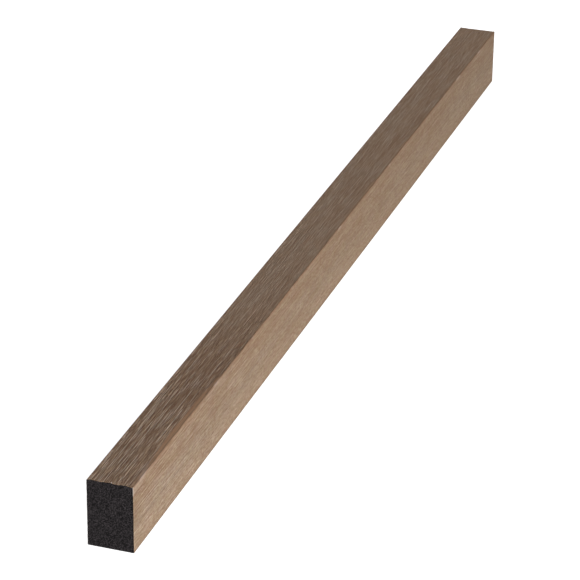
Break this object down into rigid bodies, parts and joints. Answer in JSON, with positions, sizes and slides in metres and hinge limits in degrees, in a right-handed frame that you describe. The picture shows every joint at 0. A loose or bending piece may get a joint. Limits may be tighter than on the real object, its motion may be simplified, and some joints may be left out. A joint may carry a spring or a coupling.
{
  "type": "panel moulding",
  "caption": "Rectangular panel moulding: black foam batten with wood-effect film over its face and sides, square sawn ends and a bare flat back for gluing to a wall.",
  "frame": {"origin": "centre of the bare back face, halfway along the length", "axes": "+Z from the back towards the 20 mm show face, up as it lies in the picture; +Y along the length, from the near sawn end to the far one; +X across, towards the side seen in the picture"},
  "size_m": [0.02, 0.55, 0.03],
  "materials": {
    "foam": "matte",
    "film": "matte"
  },
  "bodies": {
    "root": {"foam_core": "foam", "decor_film": "film"}
  },
  "joints": []
}
